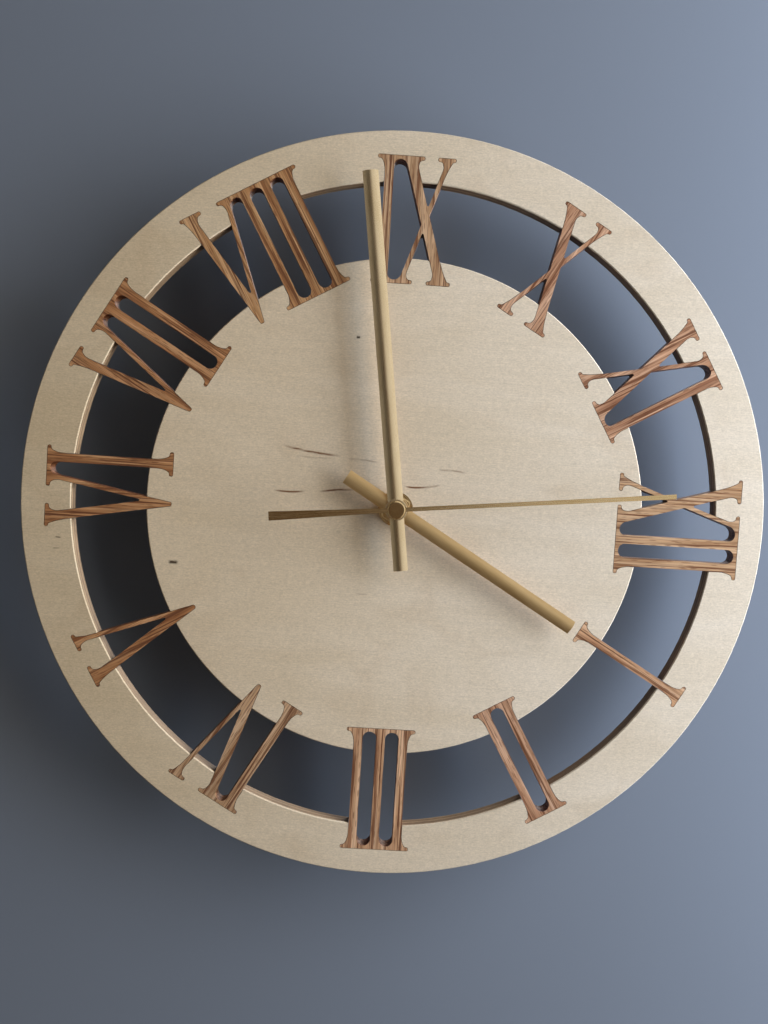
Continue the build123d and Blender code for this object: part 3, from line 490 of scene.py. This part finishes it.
def cell_sleeve(name):
    """A plain dark sleeve with a paler band, between bright metal ends."""
    finish = Finish(name)
    low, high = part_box("battery")
    along = finish.span(finish.part(finish.place, "X"), low.x, high.x, curve="LINEAR")
    from_middle = finish.maths("ABSOLUTE", finish.maths("SUBTRACT", along, 0.5))
    end = finish.maths("GREATER_THAN", from_middle, end_start)
    band = finish.maths("GREATER_THAN", along, band_start)
    drift = finish.figure(evenly * sleeve_drift_size, detail=3.0)
    gloss = finish.figure(evenly * sleeve_gloss_size, detail=3.0)
    sleeve = finish.tone(finish.mix(band, sleeve_dark, sleeve_pale), drift, sleeve_drift_depth)
    finish.feed({
        "Base Color": finish.mix(end, sleeve, cell_metal),
        "Metallic": end,
        "Roughness": finish.span(gloss, *wide_range, *sleeve_roughness),
    })
    return finish.material


def wound(name, tones):
    """Enamelled wire wound in close turns."""
    finish = Finish(name)
    half_turn = 0.5
    turns = finish.maths("PINGPONG", finish.part(finish.grid(evenly * wire_size), "X"), half_turn)
    stain = finish.figure(evenly * wire_stain_size, detail=3.0)
    finish.feed({
        "Base Color": finish.mix(stain, *tones),
        "Metallic": 1.0,
        "Roughness": finish.span(turns, 0.0, half_turn, *wire_roughness),
    })
    finish.bump(turns, wire_relief)
    return finish.material


def dress(finish, *names):
    """Gives one finish to the named nodes."""
    for name in names:
        slots = nodes[name].data.materials
        slots.clear()
        slots.append(finish)


def hand_turn(name):
    """Angle of a hand's length about the clock's axis, in degrees."""
    flat = (Vector((vertex.co.x, 0.0, vertex.co.z)) for vertex in nodes[name].data.vertices)
    tip = max(flat, key=lambda place: place.length)
    return math.degrees(math.atan2(tip.x, tip.z))


dress(birch("birch_ring", ring_marks, ring_foot_painted_shade), "outer_ring")
dress(birch("birch_disc", disc_marks, disc_foot_painted_shade), "inner_disc")
for board, hours in board_hours.items():
    for hour in hours:
        dress(hardwood(f"hardwood_{hour:02d}", boards[board], hour_angle * hour), f"numeral_{hour:02d}")
for hand, (tones, roughness) in hand_brass_and_painted_light.items():
    dress(brushed(f"brass_{hand}", tones, roughness, hand_turn(hand)), hand)
for make, looks in ((turned, turned_finishes), (brushed, brushed_finishes), (moulded, moulded_finishes)):
    for name, (*look, worn_by) in looks.items():
        dress(make(name, *look), *worn_by)
dress(wound("copper_wire", copper), "coil_winding")
dress(cell_sleeve("cell_sleeve"), "battery")


def square(size, middle, across, up):
    """Corners of a square that faces the side from which up is anticlockwise of across."""
    half = size / 2
    steps = ((-half, -half), (half, -half), (half, half), (-half, half))
    return [middle + across * aside + up * rise for aside, rise in steps]


def sheet(name, corners, finish):
    """A flat piece of the stage."""
    mesh = bpy.data.meshes.new(name)
    mesh.from_pydata(corners, [], [range(len(corners))])
    mesh.materials.append(finish)
    made = bpy.data.objects.new(name, mesh)
    bpy.context.scene.collection.objects.link(made)
    return made


def painted(name, colour, grain):
    """Matt wall or floor paint."""
    finish = Finish(name)
    texture = finish.figure(evenly * grain)
    drift = finish.figure(evenly * paint_drift_size)
    dark = Vector(colour) * (1.0 - paint_drift_depth)
    pale = Vector(colour) * (1.0 + paint_drift_depth)
    finish.feed({
        "Base Color": finish.ramp(drift, (0.0, dark), (1.0, pale)),
        "Roughness": paint_roughness,
    })
    finish.bump(texture, *paint_relief)
    return finish


def one_sided(finish):
    """Lets a camera behind a sheet see through it, and metal close to it mirror what is behind it."""
    back = finish.add("ShaderNodeNewGeometry").outputs["Backfacing"]
    ray = finish.add("ShaderNodeLightPath").outputs
    close = finish.maths("LESS_THAN", ray["Ray Length"], mirror_reach)
    unseen = finish.maths("MAXIMUM", back, finish.maths("MULTIPLY", close, ray["Is Glossy Ray"]))
    clear = finish.add("ShaderNodeBsdfTransparent").outputs[0]
    choice = finish.add("ShaderNodeMixShader", {0: unseen, 1: finish.shader.outputs[0], 2: clear})
    finish.put(finish.tree.nodes["Material Output"].inputs["Surface"], choice.outputs[0])
    return finish.material


def seen_glow(finish, colour, strength):
    """Lightens a sheet for the camera alone."""
    seen = finish.add("ShaderNodeLightPath").outputs["Is Camera Ray"]
    finish.feed({"Emission Color": colour, "Emission Strength": finish.maths("MULTIPLY", seen, strength)})
    return finish.material


def lamp(name, place, across, size, power, colour=(1.0, 1.0, 1.0)):
    """A soft light aimed at the clock, with its width along the direction across."""
    data = bpy.data.lights.new(name, "AREA")
    data.shape = "RECTANGLE"
    data.size, data.size_y = size
    data.energy = power
    data.color = colour
    made = bpy.data.objects.new(name, data)
    bpy.context.scene.collection.objects.link(made)
    away = place.normalized()
    aim = Matrix((across, away.cross(across), away)).transposed().to_4x4()
    made.matrix_world = Matrix.Translation(place) @ aim
    return made


def window(name, height, bearing, distance, width, depth, power, colour):
    """A soft panel of light above the clock, in front of the wall. Metal shows the room instead of it."""
    turn = Matrix.Rotation(math.radians(bearing), 3, "Y")
    tilt = math.radians(height)
    place = turn @ Vector((0.0, -math.sin(tilt), math.cos(tilt))) * distance
    made = lamp(name, place, turn @ x_axis, (width, depth), power, colour)
    made.visible_glossy = False


def room():
    """A dim room, a little brighter above the clock, with a pale backdrop that a camera and metal show."""
    world = bpy.data.worlds.new("room")
    world.use_nodes = True
    bpy.context.scene.world = world
    graph = Graph(world.node_tree)
    view = graph.add("ShaderNodeTexCoord").outputs["Generated"]
    ray = graph.add("ShaderNodeLightPath").outputs
    slope = math.radians(metal_bearing)
    upward = (math.sin(slope), 0.0, math.cos(slope))
    rise = graph.add("ShaderNodeVectorMath", {0: view, 1: upward}, operation="DOT_PRODUCT")
    behind = graph.maths("GREATER_THAN", graph.part(view, "Y"), 0.0)
    shown = graph.mix(behind, graph.ramp(rise.outputs["Value"], *shown_in_metal), backdrop_colour)
    height = graph.span(graph.part(view, "Z"), -1.0, 1.0, curve="LINEAR")
    colour = graph.mix(height, room_low, room_high)
    colour = graph.mix(ray["Is Glossy Ray"], colour, shown)
    colour = graph.mix(ray["Is Camera Ray"], colour, backdrop_colour)
    graph.put(graph.tree.nodes["Background"].inputs["Color"], colour)


wall_paint = one_sided(painted("wall_paint", wall_colour, wall_grain))
wall = sheet("wall", square(wall_size, y_axis * wall_gap, x_axis, z_axis), wall_paint)
wall.visible_shadow = False
floor_paint = seen_glow(painted("floor_paint", floor_colour, floor_grain), floor_colour, floor_glow)
sheet("floor", square(floor_size, z_axis * -floor_drop, x_axis, y_axis), floor_paint)

for name, values in windows.items():
    window(name, *values)
back_fill = lamp("back_fill", back_place, z_axis, (back_size, back_size), back_power)
back_fill.data.cycles.max_bounces = 0
room()

camera_data = bpy.data.cameras.new("photograph")
camera_data.sensor_width = sensor_size
camera_data.lens = focal_pixels / photo_long_side * sensor_size
camera_data.clip_start = nearest_seen
camera = bpy.data.objects.new("photograph", camera_data)
bpy.context.scene.collection.objects.link(camera)
forward = camera_forward.normalized()
up = camera_right.cross(forward).normalized()
right = forward.cross(up)
camera_facing = Matrix((right, up, -forward)).transposed().to_4x4()
camera.matrix_world = Matrix.Translation(camera_place) @ camera_facing
bpy.context.scene.camera = camera
bpy.context.scene.view_settings.view_transform = "Standard"
